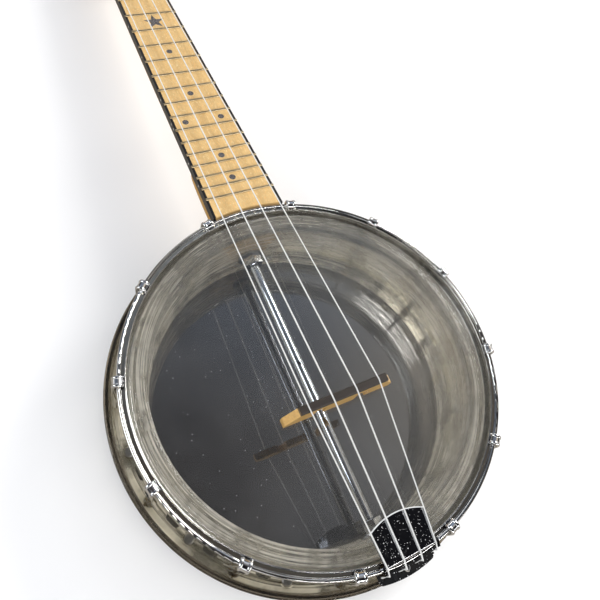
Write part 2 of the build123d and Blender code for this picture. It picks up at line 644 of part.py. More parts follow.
# ================================================================ BRIDGE
BRIDGE_T = 4.2
BRIDGE_FOOT_X = 31       # half length at the foot
CAP_HALF_L, CAP_H, CAP_CHAMFER = 24.6, 2.4, 0.5
CAP_Z = BRIDGE_TOP - CAP_H
with BuildPart() as bridge_body:
    with BuildSketch(Plane.XZ.offset(-BRIDGE_Y)):
        with BuildLine():
            toe, flare = HEAD_TOP + 3.4, HEAD_TOP + 7.0
            Polyline((-BRIDGE_FOOT_X, HEAD_TOP), (BRIDGE_FOOT_X, HEAD_TOP), (BRIDGE_FOOT_X, toe))
            Spline((BRIDGE_FOOT_X, toe), (29.4, flare), (CAP_HALF_L, CAP_Z),
                   tangents=[(0, 1), (-0.9, 1)])
            Line((CAP_HALF_L, CAP_Z), (-CAP_HALF_L, CAP_Z))
            Spline((-CAP_HALF_L, CAP_Z), (-29.4, flare), (-BRIDGE_FOOT_X, toe),
                   tangents=[(-0.9, -1), (0, -1)])
            Line((-BRIDGE_FOOT_X, toe), (-BRIDGE_FOOT_X, HEAD_TOP))
        make_face()
        # two round-topped openings, open at the foot
        for x in (-11.8, 12.3):
            with Locations((x, HEAD_TOP + 2.9)):
                SlotOverall(16.4, 6.4, rotation=90, mode=Mode.SUBTRACT)
    extrude(amount=BRIDGE_T / 2, both=True)
save(bridge_body, "bridge_body")

with BuildPart() as bridge_cap:
    with BuildSketch(Plane.YZ.offset(-CAP_HALF_L)):
        with BuildLine():
            y0, y1 = BRIDGE_Y - BRIDGE_T / 2, BRIDGE_Y + BRIDGE_T / 2
            Polyline((y0, CAP_Z), (y1, CAP_Z), (y1, BRIDGE_TOP - CAP_CHAMFER),
                     (y1 - CAP_CHAMFER, BRIDGE_TOP), (y0 + CAP_CHAMFER, BRIDGE_TOP),
                     (y0, BRIDGE_TOP - CAP_CHAMFER), close=True)
        make_face()
    extrude(amount=2 * CAP_HALF_L)
    for step, radius in zip(STRING_STEPS, STRING_R):
        with BuildSketch(Plane.XY.offset(BRIDGE_TOP - 0.85)):
            with Locations((step * BRIDGE_PITCH, BRIDGE_Y)):
                Rectangle(2 * radius + 0.5, 8)
        extrude(amount=4, mode=Mode.SUBTRACT)
save(bridge_cap, "bridge_cap")

# ================================================================ TAILPIECE
BACK_RI, BACK_RO, BACK_HALF_W = 101.25, 102.45, 15.3
PIN_Y, PIN_Z = -98.2, 53.1           # hinge pin
PIN_R, PIN_HOLE_R, PIN_HALF_L = 0.49, 0.53, 15.6
BARREL_R = 0.85
SHELF_Z, SHELF_T = 39.6, 1.2
SHELF_TOP = SHELF_Z + SHELF_T
STRING_DROP_R = 102.95               # circle where the strings drop behind the back plate
PRONG_Z, PRONG_R = 47.4, 0.6
TAIL_X = [step * TAIL_PITCH for step in STRING_STEPS]
LOOP_R = [PRONG_R + STRING_GAP + radius for radius in STRING_R]   # string loops, to the centre


def prong_direction(k):
    """Unit vector from the pot's axis towards the prong of string k."""
    x = TAIL_X[k] - LOOP_R[k]
    return Vector(x, -math.sqrt(STRING_DROP_R ** 2 - x ** 2), 0).normalized()


with BuildPart() as bracket:
    # curved back plate outside the hoop
    with BuildSketch(Plane.XY.offset(SHELF_Z)):
        Circle(BACK_RO)
        Circle(BACK_RI, mode=Mode.SUBTRACT)
        with Locations((0, -100)):
            Rectangle(2 * BACK_HALF_W, 30, mode=Mode.INTERSECT)
    extrude(amount=51.7 - SHELF_Z)
    # foot shelf with its bowed edge
    with BuildSketch(Plane.XY.offset(SHELF_Z)):
        with BuildLine():
            corner_x = BACK_HALF_W - 0.8
            Polyline((BACK_HALF_W, -105.4), (BACK_HALF_W, -101.0), (-BACK_HALF_W, -101.0),
                     (-BACK_HALF_W, -105.4))
            Line((-BACK_HALF_W, -105.4), (-corner_x, -106.2))
            ThreePointArc((-corner_x, -106.2), (0, -107.9), (corner_x, -106.2))
            Line((corner_x, -106.2), (BACK_HALF_W, -105.4))
        make_face()
        Circle(BACK_RI, mode=Mode.SUBTRACT)
        with Locations((0, TAIL_SCREW_Y)):
            Circle(1.3, mode=Mode.SUBTRACT)
    extrude(amount=SHELF_T)
    # hinge ears over the hoop
    for side in (-1, 1):
        with BuildSketch(Plane.YZ.offset(side * 14.9 - 0.6)):
            with BuildLine():
                Polyline((-101.3, 49.0), (-100.12, 49.0), (-100.12, 52.25), (PIN_Y, 52.25))
                ThreePointArc((PIN_Y, 52.25), (PIN_Y + 1.0, PIN_Z + 0.1), (PIN_Y, 54.15))
                Polyline((PIN_Y, 54.15), (-101.3, 52.8), (-101.3, 49.0))
            make_face()
        extrude(amount=1.2)
    with BuildSketch(Plane.YZ.offset(-20)):
        with Locations((PIN_Y, PIN_Z)):
            Circle(PIN_HOLE_R)
    extrude(amount=40, mode=Mode.SUBTRACT)
    # prongs the string loops sit on
    for k in range(4):
        outward = prong_direction(k)
        root = Vector(outward.X * 101.9, outward.Y * 101.9, PRONG_Z)
        with BuildSketch(Plane(origin=root, z_dir=outward)):
            Circle(PRONG_R)
        extrude(amount=2.4)
save(bracket, "tailpiece_bracket")

with BuildPart() as tail_plate:
    barrel_top = PIN_Z + BARREL_R
    front_y, front_z = -78.9, 55.95
    with BuildSketch(Plane.YZ.offset(-BACK_HALF_W)):
        with Locations((PIN_Y, PIN_Z)):
            Circle(BARREL_R)
        with BuildLine():
            Polyline((PIN_Y, barrel_top), (front_y, front_z), (front_y, front_z - 0.95),
                     (PIN_Y + 0.7, barrel_top - 0.9), (PIN_Y, PIN_Z + 0.6), close=True)
        make_face()
        with Locations((PIN_Y, PIN_Z)):
            Circle(PIN_HOLE_R, mode=Mode.SUBTRACT)
    extrude(amount=2 * BACK_HALF_W)
    # tapered sides, arched edge towards the bridge
    with BuildSketch(Plane.XY.offset(49.5)):
        with BuildLine():
            Polyline((-15.1, -82.6), (-14.15, -96.5), (-14.15, -103), (14.15, -103),
                     (14.15, -96.5), (15.1, -82.6))
            ThreePointArc((15.1, -82.6), (0, -79.0), (-15.1, -82.6))
        make_face()
    extrude(amount=14, mode=Mode.INTERSECT)
save(tail_plate, "tailpiece_plate")

with BuildPart() as pin:
    with BuildSketch(Plane.YZ.offset(-PIN_HALF_L)):
        with Locations((PIN_Y, PIN_Z)):
            Circle(PIN_R)
    extrude(amount=2 * PIN_HALF_L)
    for side in (-1, 1):
        with BuildSketch(Plane.YZ.offset(side * (PIN_HALF_L - 0.05))):
            with Locations((PIN_Y, PIN_Z)):
                Circle(0.85)
        extrude(amount=0.8 * side)
save(pin, "tailpiece_pin")

# Hex-socket screw from the shelf down through the flange
SOCKET_HEAD_R, SOCKET_HEAD_Z, SOCKET_HEAD_H = 1.75, SHELF_TOP + 0.03, 1.0
TAIL_SCREW_Z0 = FLANGE_Z0 - 0.6
with BuildPart() as tail_screw:
    with BuildSketch(Plane.XY.offset(SOCKET_HEAD_Z)):
        with Locations((0, TAIL_SCREW_Y)):
            Circle(SOCKET_HEAD_R)
    extrude(amount=SOCKET_HEAD_H)
    with BuildSketch(Plane.XY.offset(SOCKET_HEAD_Z + SOCKET_HEAD_H)):
        with Locations((0, TAIL_SCREW_Y)):
            Circle(SOCKET_HEAD_R)
    extrude(amount=0.7, taper=35)
    with BuildSketch(Plane.XY.offset(SHELF_TOP + 0.9)):
        with Locations((0, TAIL_SCREW_Y)):
            RegularPolygon(0.75, 6)
    extrude(amount=3, mode=Mode.SUBTRACT)
    with BuildSketch(Plane.XY.offset(TAIL_SCREW_Z0)):
        with Locations((0, TAIL_SCREW_Y)):
            Circle(1.1)
    extrude(amount=SHELF_TOP + 0.2 - TAIL_SCREW_Z0)
save(tail_screw, "tailpiece_screw")

# ================================================================ TUNERS
# Built for the +X side and mirrored for the other: z along the post from the headstock's
# face, x towards the button, y up the headstock.
WORM_LEAD, GEAR_TEETH = 2.2, 14
WORM_Y, GEAR_Z = 7.2, -16.3          # worm axis; its z is the gear's mid plane
GEAR_TOP, GEAR_BOTTOM = GEAR_Z + 1.3, GEAR_Z - 1.3
BUTTON_X0 = 14.5
BUSHING_RI = 3.05
PLATE_T = 1.2

with BuildPart() as bushing:
    with BuildSketch(Plane.XY.offset(-9.5)):
        Circle(4.37)
        Circle(BUSHING_RI, mode=Mode.SUBTRACT)
    extrude(amount=9.52)
    with BuildSketch(Plane.XY.offset(0.02)):
        Circle(5.9)
        Circle(BUSHING_RI, mode=Mode.SUBTRACT)
    extrude(amount=1.1)
    top_circles = bushing.edges().filter_by(GeomType.CIRCLE).group_by(Axis.Z)[-1]
    chamfer(top_circles.sort_by(SortBy.RADIUS)[-1], 0.5)

with BuildPart() as tuner_plate:
    with BuildSketch(Plane.XY.offset(-HEADSTOCK_T)):
        with Locations((0, 2.2)):
            RectangleRounded(11.4, 29.0, 3.0)
        Circle(3.3, mode=Mode.SUBTRACT)
        with Locations(*[(0, y) for y in MOUNT_Y]):
            Circle(1.15, mode=Mode.SUBTRACT)
    extrude(amount=-PLATE_T)
    # lugs that carry the worm shaft
    lug_r, lug_top = 3.3, -HEADSTOCK_T - 0.6
    lug_y0, lug_y1 = WORM_Y - lug_r, WORM_Y + lug_r
    for x in (-5.6, 4.4):
        with BuildSketch(Plane.YZ.offset(x)):
            with BuildLine():
                Line((lug_y0, lug_top), (lug_y1, lug_top))
                Line((lug_y1, lug_top), (lug_y1, GEAR_Z))
                ThreePointArc((lug_y1, GEAR_Z), (WORM_Y, GEAR_Z - lug_r), (lug_y0, GEAR_Z))
                Line((lug_y0, GEAR_Z), (lug_y0, lug_top))
            make_face()
            with Locations((WORM_Y, GEAR_Z)):
                Circle(1.55, mode=Mode.SUBTRACT)
        extrude(amount=1.2)

with BuildPart() as tuner_screw:
    with BuildSketch(Plane.XY.offset(-HEADSTOCK_T - PLATE_T)):
        Circle(2.0)
    extrude(amount=-0.8)
    with BuildSketch(Plane.XY.offset(-HEADSTOCK_T - PLATE_T - 0.8)):
        Circle(2.0)
    extrude(amount=-0.6, taper=45)
    with BuildSketch(Plane.XY.offset(-HEADSTOCK_T - 1.3)):
        Circle(0.93)
    extrude(amount=7.3)
    with BuildSketch(Plane.XY.offset(-HEADSTOCK_T - 1.9)):
        Rectangle(2.2, 0.5)
        Rectangle(0.5, 2.2)
    extrude(amount=-2, mode=Mode.SUBTRACT)

collar_top = -HEADSTOCK_T - 1.25
post_foot = GEAR_BOTTOM + 0.05
# (radius, z), from the post's tip to its foot
POST_PROFILE = [(0, 11.0), (2.3, 11.0), (2.9, 10.4), (2.9, 9.0), (2.55, 8.0), (2.55, 5.4),
                (3.0, 4.0), (3.0, collar_top), (4.1, collar_top), (4.1, GEAR_TOP),
                (2.0, GEAR_TOP), (2.0, post_foot), (0, post_foot)]
with BuildPart() as post:
    with BuildSketch(Plane.XZ):
        with BuildLine():
            Polyline(*POST_PROFILE, close=True)
        make_face()
    revolve(axis=Axis.Z)
    # cross hole near the tip
    with BuildSketch(Plane.XZ.offset(-6)):
        with Locations((0, 6.7)):
            Circle(0.8)
    extrude(amount=12, mode=Mode.SUBTRACT)
    # bore for the gear screw
    with BuildSketch(Plane.XY.offset(GEAR_BOTTOM - 1)):
        Circle(1.02)
    extrude(amount=5.5, mode=Mode.SUBTRACT)

PITCH_R = GEAR_TEETH * WORM_LEAD / (2 * math.pi)
GEAR_RO, GEAR_ROOT_R = PITCH_R + 0.55, PITCH_R - 0.78
# (distance from the gear's axis, half width) of one tooth
TOOTH = [(GEAR_ROOT_R - 0.4, 0.62), (GEAR_ROOT_R, 0.60), (PITCH_R, 0.38), (GEAR_RO, 0.20)]
tooth_outline = [(x, -y) for x, y in TOOTH] + TOOTH[::-1]
with BuildPart() as gear:
    with BuildSketch(Plane.XY.offset(GEAR_BOTTOM)):
        Circle(GEAR_ROOT_R)
        for k in range(GEAR_TEETH):                # one tooth stands in the thread's gap at x = 0
            with BuildLine():
                Polyline(*[Vector(x, y).rotate(Axis.Z, 90 + 360 / GEAR_TEETH * k)
                           for x, y in tooth_outline], close=True)
            make_face()
        Circle(2.03, mode=Mode.SUBTRACT)
    extrude(amount=GEAR_TOP - GEAR_BOTTOM)

with BuildPart() as gear_screw:
    with BuildSketch(Plane.XY.offset(GEAR_BOTTOM - 0.02)):
        Circle(3.0)
    extrude(amount=-1.0)
    with BuildSketch(Plane.XY.offset(GEAR_BOTTOM - 1.02)):
        Circle(3.0)
    extrude(amount=-0.5, taper=45)
    with BuildSketch(Plane.XY.offset(GEAR_BOTTOM - 0.1)):
        Circle(1.0)
    extrude(amount=4.3)
    with BuildSketch(Plane.XY.offset(GEAR_BOTTOM - 0.9)):
        Rectangle(5.0, 0.6)
    extrude(amount=-2, mode=Mode.SUBTRACT)

WORM_PITCH_R = WORM_Y - PITCH_R
# (x of the -X face, radius, length): shaft, thread core and the two end collars
WORM_DISCS = [(-5.75, 1.5, BUTTON_X0 + 10.0 + 5.75), (-4.25, WORM_PITCH_R - 0.72, 8.5),
              (-6.55, 2.2, 0.85), (5.7, 2.4, 1.2)]
with BuildPart() as worm:
    for x, radius, length in WORM_DISCS:
        with BuildSketch(Plane.YZ.offset(x)):
            with Locations((WORM_Y, GEAR_Z)):
                Circle(radius)
        extrude(amount=length)

# single-start thread, centred so that a gap on the gear side sits at x = 0
THREAD_X = 3.3
helix_plane = Plane(origin=(-THREAD_X, WORM_Y, GEAR_Z), x_dir=(0, -1, 0), z_dir=(1, 0, 0))
helix = helix_plane.location * Helix(pitch=WORM_LEAD, height=2 * THREAD_X, radius=WORM_PITCH_R)
tangent = helix % 0
radial = Vector(0, -1, 0)
with BuildPart() as thread:
    with BuildSketch(Plane(origin=helix @ 0, x_dir=radial.cross(tangent), z_dir=tangent)):
        with BuildLine():
            Polyline((-0.60, -0.80), (-0.20, 0.52), (0.20, 0.52), (0.60, -0.80), close=True)
        make_face()
    sweep(path=helix, is_frenet=True)
with BuildPart() as worm_full:
    add(worm.part)
    add(thread.part)

with BuildPart() as button:
    with BuildSketch(Plane.XY.offset(GEAR_Z)):
        with Locations((BUTTON_X0 + 9.4, WORM_Y)):
            Ellipse(8.0, 6.6)
    extrude(amount=2.9, both=True)
    fillet(button.edges().filter_by(GeomType.ELLIPSE), 2.2)
    # neck of the button, then the shaft's bore
    with BuildSketch(Plane.YZ.offset(BUTTON_X0 - 1.2)):
        with Locations((WORM_Y, GEAR_Z)):
            Circle(2.7)
    extrude(amount=4.5)
    with BuildSketch(Plane.YZ.offset(BUTTON_X0 - 3)):
        with Locations((WORM_Y, GEAR_Z)):
            Circle(1.53)
    extrude(amount=13.1, mode=Mode.SUBTRACT)

COIL_Z = 5.3
WRAP_R = 3.0             # post radius the strings wrap on
coils = []
for radius in STRING_R:
    with BuildPart() as coil:
        pitch = 2 * radius + 0.08
        path = Pos(0, 0, COIL_Z - 2.2) * Helix(pitch=pitch, height=3 * pitch,
                                               radius=WRAP_R + radius + 0.03)
        with BuildSketch(Plane(origin=path @ 0, z_dir=path % 0)):
            Circle(radius)
        sweep(path=path, is_frenet=True)
    coils.append(coil)


def place(shape, side, y):
    """Puts a +X tuner piece on the headstock; the other side is its mirror image."""
    solid = shape if side > 0 else shape.mirror(Plane.YZ)
    return HEADSTOCK_PLANE.location * Pos(side * POST_X, y, 0) * solid


for label, builder in (("tuner_bushings", bushing), ("tuner_plates", tuner_plate)):
    with BuildPart() as pieces:
        for side, y in TUNERS:
            add(place(builder.part, side, y))
    save(pieces, label)
with BuildPart() as tuner_screws:
    for side, y in TUNERS:
        for dy in MOUNT_Y:
            add(place(Pos(0, dy, 0) * tuner_screw.part, side, y))
save(tuner_screws, "tuner_screws")
for i, (side, y) in enumerate(TUNERS, 1):
    for label, builder in (("tuner_post", post), ("tuner_gear", gear),
                           ("gear_screw", gear_screw), ("worm_shaft", worm_full),
                           ("tuner_button", button), ("string_coil", coils[i - 1])):
        with BuildPart() as piece:
            add(place(builder.part, side, y))
        save(piece, f"{label}_{i}")

# ================================================================ STRINGS
STRING_END_Z = COIL_Z - 0.9          # above the headstock, at the post
for k, (side, post_y) in enumerate(TUNERS):
    radius, step = STRING_R[k], STRING_STEPS[k]
    nut_front = on_neck(step * NUT_PITCH, NUT_S + 0.8, NUT_STRING_H)
    nut_back = on_neck(step * NUT_PITCH, NUT_S + NUT_T - 0.6, NUT_STRING_H - 0.25)
    crown = Vector(step * BRIDGE_PITCH, BRIDGE_Y, BRIDGE_TOP)
    # run to the tangent point on the inner side of the post, stopping short of the wraps
    local = HEADSTOCK_PLANE.to_local_coords(nut_back)
    dx, dy = side * POST_X - local.X, post_y - local.Y
    distance = math.hypot(dx, dy)
    wrap = WRAP_R + radius
    heading = math.atan2(dy, dx) + side * math.asin(wrap / distance)
    run = (math.sqrt(distance ** 2 - wrap ** 2)
           - math.sqrt((wrap + 2 * radius + 0.15) ** 2 - wrap ** 2))
    end = HEADSTOCK_PLANE.from_local_coords(Vector(
        local.X + run * math.cos(heading), local.Y + run * math.sin(heading), STRING_END_Z))
    # over the hinge barrel, then down outside the back plate
    x = TAIL_X[k]
    bend = BARREL_R + STRING_GAP + radius
    over = [Vector(x, PIN_Y + bend * math.cos(math.radians(a)),
                   PIN_Z + bend * math.sin(math.radians(a))) for a in (98, 107, 116, 125)]
    drop_y = -math.sqrt(STRING_DROP_R ** 2 - x ** 2)
    points = [end, nut_back, nut_front, crown, *over,
              Vector(x, drop_y, 52.35), Vector(x, drop_y, PRONG_Z)]
    with BuildPart() as string:
        for a, b in zip(points[:-1], points[1:]):
            with BuildSketch(Plane(origin=a, z_dir=(b - a).normalized())):
                Circle(radius)
            extrude(amount=(b - a).length)
        for point in points[1:-1]:
            with Locations(point):
                Sphere(radius)
        # loop round the prong
        outward = prong_direction(k)
        centre = Vector(outward.X * STRING_DROP_R, outward.Y * STRING_DROP_R, PRONG_Z)
        with BuildSketch(Plane(origin=centre + Vector(0, 0, LOOP_R[k]), x_dir=outward,
                               z_dir=Vector(0, 0, 1).cross(outward))):
            Circle(radius)
        revolve(axis=Axis(centre, outward))
    save(string, f"string_{k + 1}")
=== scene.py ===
# Materials, floor, sky, lights and camera for a banjo with a clear moulded pot.
# It lies on its back: the pot's axis is Z through the origin, the strings run along Y
# and the tailpiece is on the -Y side. Lengths are metres, but textures work in millimetres.
import bpy
from fnmatch import fnmatchcase
from mathutils import Matrix, Vector


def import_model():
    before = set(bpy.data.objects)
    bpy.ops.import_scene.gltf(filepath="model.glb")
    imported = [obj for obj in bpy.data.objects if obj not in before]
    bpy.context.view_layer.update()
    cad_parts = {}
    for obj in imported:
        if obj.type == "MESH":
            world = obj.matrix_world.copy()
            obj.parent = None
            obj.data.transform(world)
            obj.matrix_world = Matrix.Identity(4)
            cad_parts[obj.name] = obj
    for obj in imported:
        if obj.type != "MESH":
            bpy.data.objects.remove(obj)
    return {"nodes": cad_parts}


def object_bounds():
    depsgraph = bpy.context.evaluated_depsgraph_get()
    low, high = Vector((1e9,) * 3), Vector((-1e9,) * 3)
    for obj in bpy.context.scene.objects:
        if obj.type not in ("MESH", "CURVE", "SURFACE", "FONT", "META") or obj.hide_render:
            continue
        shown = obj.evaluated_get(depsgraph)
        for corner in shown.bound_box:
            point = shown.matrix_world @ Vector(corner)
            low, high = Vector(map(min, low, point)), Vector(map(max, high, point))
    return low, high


FLOOR_SIZE = 8
FLOOR_GAP = 0.0005  # from the lowest piece down to the floor

CAMERA_PLACE = (-0.10070105, -0.05819199, 0.30807666)
# the columns are the camera's right, up and backward directions
CAMERA_TURN = (
    (0.88794206, 0.28516574, -0.36088697),
    (-0.40644375, 0.853766, -0.32540297),
    (0.21531925, 0.43561923, 0.87399857),
)
CAMERA_SENSOR = 36  # mm
CAMERA_LENS = 32.23107414  # mm

# texture places, in millimetres
COVER_ARC_Y = -112.47  # centre of the arc along which the tailpiece cover's edge highlight is painted
COVER_HIGHLIGHT_RADII = (32.9, 33.05)  # radii over which the painted edge highlight fades in
BACK_PLATE_TOP = 5.2  # the resonator's back plate, painted dark for shade, is below this height
BACK_PLATE_RADIUS = 108.2  # and inside this radius

ACRYLIC_IOR = 1.49
DARK_FLECK = (0.86, 0.46, 0.13)  # orange and yellow flecks in maple
LIGHT_FLECK = (0.91, 0.74, 0.40)

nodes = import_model()["nodes"]
cad_lo, cad_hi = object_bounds()
scene = bpy.context.scene


# ------------------------------------------------------------------ node helpers
def scaled(color, factor, lift=0.0):
    """The colour times factor plus lift, kept at or below 1."""
    return tuple(min(1, x * factor + lift) for x in color)


class Nodes:
    """Short ways to build a node tree. Any value may be a number, a colour or a socket."""

    def __init__(self, tree):
        self.tree = tree
        tree.nodes.clear()

    def node(self, kind, inputs, **settings):
        """Add a node, set or link its inputs, and return its outputs."""
        made = self.tree.nodes.new("ShaderNode" + kind)
        for key, value in settings.items():
            setattr(made, key, value)
        for key, value in inputs.items():
            socket = made.inputs[key]
            if isinstance(value, bpy.types.NodeSocket):
                self.tree.links.new(value, socket)
            elif socket.type == "RGBA":
                socket.default_value = (*value, 1)
            else:
                socket.default_value = value
        return made.outputs

    # numbers
    def math(self, operation, a, b=0.0, c=0.0, clamp=False):
        return self.node("Math", {0: a, 1: b, 2: c}, operation=operation, use_clamp=clamp)[0]

    def plus(self, a, b, clamp=False):
        return self.math("ADD", a, b, clamp=clamp)

    def times(self, a, b, clamp=False):
        return self.math("MULTIPLY", a, b, clamp=clamp)

    def remap(self, value, source, target=(0.0, 1.0)):
        """Map the source range to the target range."""
        return self.node("MapRange", {
            "Value": value, "From Min": source[0], "From Max": source[1],
            "To Min": target[0], "To Max": target[1]})[0]

    def split(self, vector):
        return self.node("SeparateXYZ", {0: vector})

    def radius(self, x, y):
        return self.math("SQRT", self.plus(self.times(x, x), self.times(y, y)))

    # patterns
    def place(self, stretch=(1, 1, 1), turn=(0, 0, 0), shift=(0, 0, 0)):
        """Object coordinates in millimetres, then mapped."""
        return self.node("Mapping", {
            "Vector": self.node("TexCoord", {})["Object"],
            "Scale": [1000 * x for x in stretch], "Rotation": turn, "Location": shift})[0]

    def noise(self, place, scale, detail=4.0, rough=0.5, warp=0.0):
        return self.node("TexNoise", {
            "Vector": place, "Scale": scale, "Detail": detail, "Roughness": rough,
            "Distortion": warp})["Fac"]

    def scratches(self, stretch, turn, scale=1.0, rough=0.7):
        return self.noise(self.place(stretch, turn), scale, detail=2, rough=rough)

    def cells(self, place, scale):
        """Distance to the nearest of scattered points."""
        return self.node("TexVoronoi", {"Vector": place, "Scale": scale})["Distance"]

    def specks(self, place, scale, size):
        return self.math("LESS_THAN", self.cells(place, scale), size)

    def rings(self, place, scale=0.9, along=4.0, detail=3):
        """Noise drawn out into rings round the pot's axis; along breaks them up."""
        x, y, z = self.split(place)
        turned = self.node("CombineXYZ", {
            0: self.radius(x, y), 1: self.times(z, 0.6),
            2: self.times(self.math("ARCTAN2", y, x), along)})[0]
        return self.noise(turned, scale, detail, rough=0.6)

    def ring_lines(self, rings, fade, level=0.5, peak=1.0):
        """Thin lines where the rings cross the level."""
        away = self.math("ABSOLUTE", self.math("SUBTRACT", rings, level))
        return self.remap(away, fade, (peak, 0.0))

    def bump(self, height, strength, distance, normal=None):
        inputs = {"Strength": strength, "Distance": distance, "Height": height}
        if normal is not None:
            inputs["Normal"] = normal
        return self.node("Bump", inputs)[0]

    # colours
    def ramp(self, value, stops):
        """Colour ramp; a stop is (position, colour or grey level)."""
        color = self.node("ValToRGB", {"Fac": value})["Color"]
        elements = color.node.color_ramp.elements
        while len(elements) < len(stops):
            elements.new(0.5)
        for element, (position, shade) in zip(elements, stops):
            element.position = position
            element.color = (*shade, 1) if isinstance(shade, tuple) else (shade, shade, shade, 1)
        return color

    def mix(self, amount, a, b, mode="MIX"):
        return self.node("Mix", {0: amount, 6: a, 7: b}, data_type="RGBA", blend_type=mode)[2]

    # shaders
    def principled(self, color, rough, **inputs):
        """Principled shader; underscores in the input names stand for spaces."""
        inputs = {key.replace("_", " "): value for key, value in inputs.items()}
        return self.node("BsdfPrincipled", {"Base Color": color, "Roughness": rough, **inputs})[0]

    def simple(self, kind, color, **inputs):
        """Diffuse, Translucent, Transparent or Glossy shader."""
        return self.node("Bsdf" + kind, {"Color": color, **inputs})[0]

    def blend(self, amount, a, b):
        return self.node("MixShader", {0: amount, 1: a, 2: b})[0]


class Material(Nodes):
    def __init__(self, name):
        self.material = bpy.data.materials.new(name)
        self.material.use_nodes = True
        super().__init__(self.material.node_tree)

    def finish(self, shader):
        self.node("OutputMaterial", {"Surface": shader})
        return self.material


# ------------------------------------------------------------------ chrome and other metal
def chrome(name, tint=(0.84, 0.85, 0.87), rough=0.03, grime=0.4):
    mat = Material(name)
    place = mat.place()
    smudge = mat.noise(place, scale=0.09, detail=5, rough=0.6)
    fine = mat.noise(mat.place((1, 1, 3)), scale=2.2, detail=3, rough=0.6)
    scratch = mat.scratches(stretch=(0.25, 6, 6), turn=(0.2, 0.1, 0.6))
    roughness = mat.plus(mat.remap(smudge, (0.35, 0.75), (rough, rough + 0.11 * grime)),
                         mat.remap(scratch, (0.55, 0.8), (0.0, 0.05 * grime)))
    pits = mat.remap(mat.cells(place, scale=0.33), (0.03, 0.09), (0.55, 1.0))
    dirty = tuple(a * b for a, b in zip(tint, (0.72, 0.70, 0.66)))
    color = mat.mix(mat.remap(smudge, (0.3, 0.8), (0.0, 0.35 * grime)), tint, dirty)
    color = mat.mix(pits, (0.35, 0.33, 0.30), color)
    normal = mat.bump(mat.plus(fine, scratch), strength=0.025, distance=0.0001)
    return mat.finish(mat.principled(color, roughness, Metallic=1.0, Normal=normal))


def hoop_chrome(name):
    """Bright plate: a painted reflection on the flat upper faces, bright on the rolled edges."""
    mat = Material(name)
    place = mat.place()
    up = mat.split(mat.node("NewGeometry", {})["True Normal"])[2]
    flat = mat.remap(up, (0.93, 0.985))
    smudge = mat.noise(place, scale=0.09, detail=5, rough=0.6)
    scratch = mat.scratches(stretch=(0.25, 6, 6), turn=(0.2, 0.1, 0.6))
    fleck = mat.specks(place, scale=0.5, size=0.10)
    # painted reflection on the flat upper faces: warm on the -X +Y side, dark on the other
    x, y, z = mat.split(place)
    painted_reflection_side = mat.remap(mat.plus(mat.times(x, 0.75), mat.times(y, -0.3)), (-60.0, 40.0))
    painted_reflection = mat.mix(painted_reflection_side, (0.86, 0.80, 0.68), (0.10, 0.10, 0.10))
    color = mat.mix(flat, (0.90, 0.90, 0.90), painted_reflection)
    color = mat.mix(mat.remap(smudge, (0.35, 0.75), (0.0, 0.4)), color, (0.22, 0.20, 0.17))
    color = mat.mix(mat.times(fleck, 0.5), color, (0.95, 0.93, 0.88))
    roughness = mat.plus(mat.remap(smudge, (0.35, 0.75), (0.025, 0.06)),
                         mat.remap(scratch, (0.55, 0.8), (0.0, 0.03)))
    normal = mat.bump(mat.plus(smudge, scratch), strength=0.04, distance=0.0003)
    return mat.finish(mat.principled(color, roughness, Metallic=1.0, Normal=normal))


def dusty_chrome(name, bright, dust, painted_edge_highlight=False):
    """Polished plate with dust specks, smears and, when asked, a painted highlight along its
    curved front edge.
    """
    mat = Material(name)
    place = mat.place()
    smear = mat.noise(mat.place((1, 0.6, 1)), scale=0.22, detail=5, rough=0.65, warp=0.6)
    speck = mat.specks(place, scale=0.5, size=0.13)
    tiny = mat.specks(place, scale=1.0, size=0.16)
    patches = mat.remap(mat.noise(place, scale=0.16, detail=3, rough=0.6), (0.45, 0.6))
    bits = mat.plus(speck, mat.times(tiny, patches), clamp=True)
    color = mat.mix(mat.remap(smear, (0.4, 0.7)), (bright, bright, bright * 1.03),
                    (bright * 0.55, bright * 0.57, bright * 0.62))
    plate = mat.principled(color, mat.remap(smear, (0.4, 0.75), (0.02, 0.06)), Metallic=1.0,
                           Normal=mat.bump(smear, strength=0.03, distance=0.0004))
    dust_and_highlight = mat.principled((0.85, 0.86, 0.86), rough=0.35)
    amount = mat.plus(mat.times(bits, dust), mat.remap(smear, (0.6, 0.8), (0.0, 0.06)),
                      clamp=True)
    # painted highlight: white along the curved front edge, where the rolled lip would catch the
    # light
    if painted_edge_highlight:
        x, y, z = mat.split(place)
        radius = mat.radius(x, mat.plus(y, -COVER_ARC_Y))
        amount = mat.math("MAXIMUM", amount, mat.remap(radius, COVER_HIGHLIGHT_RADII, (0.0, 0.85)))
    return mat.finish(mat.blend(amount, plate, dust_and_highlight))


def metal(name, color, rough=0.22, dark=0.6):
    """Plain metal with fine lines along X; dark scales the colour of its darker patches."""
    mat = Material(name)
    patches = mat.noise(mat.place(), scale=0.35, detail=4, rough=0.6)
    line = mat.noise(mat.place((0.5, 9, 9)), scale=1.2, detail=3, rough=0.6)
    shade = mat.mix(mat.remap(patches, (0.3, 0.7)), color, scaled(color, dark))
    roughness = mat.plus(mat.remap(line, (0.3, 0.7), (rough, rough + 0.1)),
                         mat.remap(patches, (0.4, 0.7), (0, 0.08)))
    normal = mat.bump(line, strength=0.05, distance=0.0001)
    return mat.finish(mat.principled(shade, roughness, Metallic=1.0, Normal=normal))


